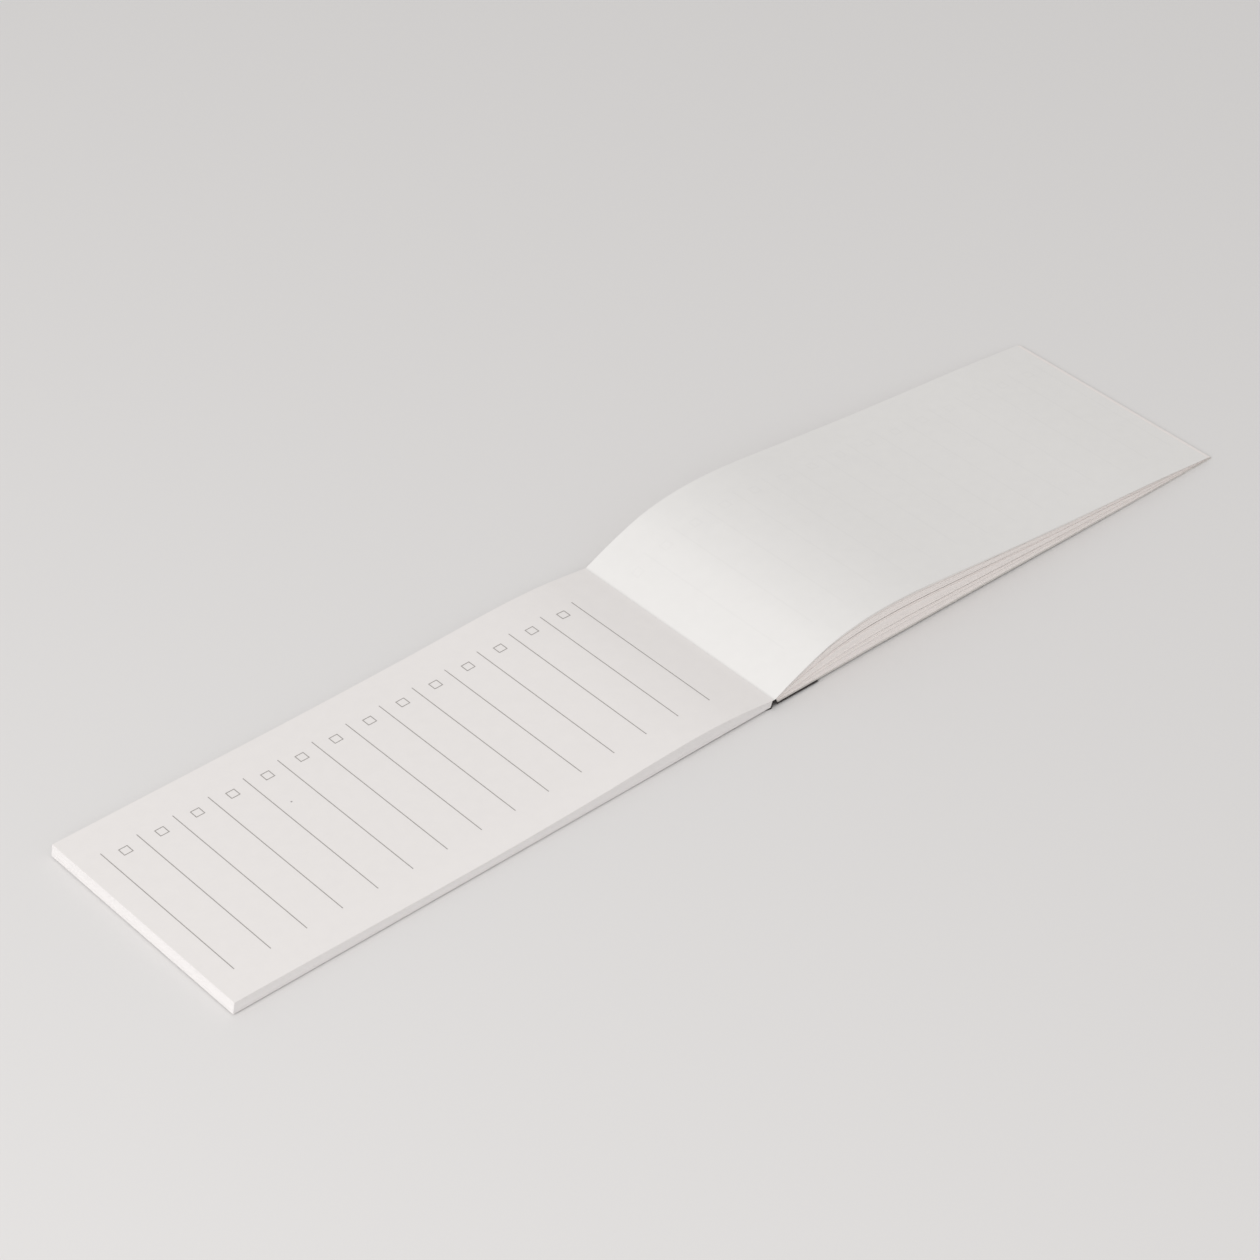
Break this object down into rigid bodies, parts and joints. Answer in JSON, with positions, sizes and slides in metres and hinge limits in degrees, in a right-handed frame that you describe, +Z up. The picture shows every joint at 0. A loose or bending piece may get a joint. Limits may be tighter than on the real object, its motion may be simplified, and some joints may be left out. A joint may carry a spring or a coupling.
{
  "type": "notepad",
  "caption": "Slim checklist notepad with a taped top edge, lying open with its cover and used sheets folded back in an arch beside the ruled sheets.",
  "frame": {"origin": "centre of the bounding box, on the table plane the open pad lies on", "axes": "+X from the ruled pad towards the turned-back sheets, +Y across the pad to the tick box side, +Z up"},
  "size_m": [0.3778, 0.082, 0.0143],
  "materials": {
    "sheet_paper": "uncoated white writing paper, matt",
    "back_card": "grey board, matt",
    "cover_card": "thin pale grey card, matt",
    "binding_tape": "dark charcoal bookbinding cloth tape",
    "print_ink": "light grey print, matt"
  },
  "bodies": {
    "pad": {"back_board": "back_card", "page_block": "sheet_paper", "tape_back": "binding_tape", "rule_01": "print_ink", "rule_02": "print_ink", "rule_03": "print_ink", "rule_04": "print_ink", "rule_05": "print_ink", "rule_06": "print_ink", "rule_07": "print_ink", "rule_08": "print_ink", "rule_09": "print_ink", "rule_10": "print_ink", "rule_11": "print_ink", "rule_12": "print_ink", "rule_13": "print_ink", "rule_14": "print_ink", "rule_15": "print_ink", "tick_box_01": "print_ink", "tick_box_02": "print_ink", "tick_box_03": "print_ink", "tick_box_04": "print_ink", "tick_box_05": "print_ink", "tick_box_06": "print_ink", "tick_box_07": "print_ink", "tick_box_08": "print_ink", "tick_box_09": "print_ink", "tick_box_10": "print_ink", "tick_box_11": "print_ink", "tick_box_12": "print_ink", "tick_box_13": "print_ink", "tick_box_14": "print_ink"},
    "cover": {"front_cover": "cover_card", "turned_pages": "sheet_paper", "tape_front": "binding_tape"}
  },
  "joints": [
    {"name": "cover_hinge", "type": "hinge", "parent": "pad", "child": "cover", "pos_m": [0.0029, 0, 0.00275], "axis": [0, -1, 0], "range_deg": [0, 170], "deforming": ["turned_pages"]}
  ]
}
